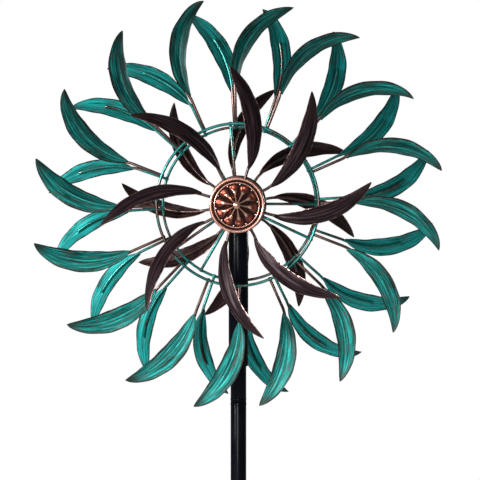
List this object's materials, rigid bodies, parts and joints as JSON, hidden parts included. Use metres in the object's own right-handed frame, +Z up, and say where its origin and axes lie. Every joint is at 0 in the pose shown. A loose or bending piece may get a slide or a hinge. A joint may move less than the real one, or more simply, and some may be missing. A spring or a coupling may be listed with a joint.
{
  "type": "kinetic wind sculpture",
  "caption": "Garden wind spinner on a pole: front and rear wheels of curved willow leaves with a copper rosette cap, on a head that swivels with the wind.",
  "frame": {"origin": "on the pole axis at the ground line, where the ground spike leaves the stake hub", "axes": "+Z up along the pole; the front wheel faces -Y along the axle; +X to the right seen from the front"},
  "size_m": [0.6064, 0.2534, 1.9032],
  "materials": {
    "black_powder_coat": "satin black powder coat",
    "bright_steel": "zinc plated",
    "black_screw": "black oxide",
    "nylon": "plain black moulded nylon",
    "bearing_steel": "ground and polished",
    "verdigris_leaf": "brushed verdigris paint over a copper base, dark edges",
    "verdigris_rod": "verdigris paint, worn to copper",
    "copper_rod": "aged copper paint",
    "bronze_leaf": "oil rubbed bronze paint, brushed",
    "polished_copper": "copper plated, dark patina in the hollows"
  },
  "bodies": {
    "pole": {"ground_spike": "black_powder_coat", "fork_tines": "black_powder_coat", "stake_hub": "black_powder_coat", "lower_pole": "black_powder_coat", "middle_pole": "black_powder_coat", "upper_pole": "black_powder_coat", "lower_coupler": "bright_steel", "upper_coupler": "bright_steel", "joint_rings": "black_powder_coat", "joint_screws": "black_screw", "pivot_plug": "bright_steel", "pivot_ball": "bright_steel"},
    "head": {"head_sleeve": "black_powder_coat", "lower_bush": "nylon", "upper_bush": "nylon", "thrust_seat": "bright_steel", "cross_tube": "black_powder_coat", "axle": "bright_steel", "head_cap": "black_powder_coat", "axle_spacers": "bright_steel", "axle_washers": "bright_steel", "axle_lock_nuts": "bright_steel", "front_inner_races": "bearing_steel", "front_race_spacer": "bright_steel", "rear_inner_races": "bearing_steel", "rear_race_spacer": "bright_steel"},
    "front_wheel": {"front_hub_barrel": "verdigris_rod", "front_outer_races": "bearing_steel", "front_bearing_balls": "bearing_steel", "front_hub_disc": "verdigris_rod", "front_spokes": "verdigris_rod", "front_ring": "verdigris_rod", "front_outer_stems": "copper_rod", "front_inner_stems": "copper_rod", "front_outer_leaves_1": "verdigris_leaf", "front_outer_leaves_2": "verdigris_leaf", "front_outer_leaves_3": "verdigris_leaf", "front_outer_leaves_4": "verdigris_leaf", "front_inner_leaves": "bronze_leaf", "front_cap_cup": "polished_copper", "front_cap_rosette": "polished_copper", "front_cap_rim": "polished_copper", "front_cap_rivet": "polished_copper"},
    "rear_wheel": {"rear_hub_barrel": "verdigris_rod", "rear_outer_races": "bearing_steel", "rear_bearing_balls": "bearing_steel", "rear_hub_disc": "verdigris_rod", "rear_spokes": "verdigris_rod", "rear_ring": "verdigris_rod", "rear_outer_stems": "verdigris_rod", "rear_inner_stems": "copper_rod", "rear_outer_leaves_1": "verdigris_leaf", "rear_outer_leaves_2": "verdigris_leaf", "rear_outer_leaves_3": "verdigris_leaf", "rear_outer_leaves_4": "verdigris_leaf", "rear_inner_leaves": "bronze_leaf", "rear_cap_cup": "polished_copper", "rear_cap_rosette": "polished_copper", "rear_cap_rim": "polished_copper", "rear_cap_rivet": "polished_copper"}
  },
  "joints": [
    {"name": "head_swivel", "type": "hinge", "parent": "pole", "child": "head", "pos_m": [0, 0, 1.4], "axis": [0, 0, 1], "continuous": true},
    {"name": "front_wheel_spin", "type": "hinge", "parent": "head", "child": "front_wheel", "pos_m": [0, -0.051, 1.4], "axis": [0, -1, 0], "continuous": true},
    {"name": "rear_wheel_spin", "type": "hinge", "parent": "head", "child": "rear_wheel", "pos_m": [0, 0.051, 1.4], "axis": [0, 1, 0], "continuous": true}
  ]
}
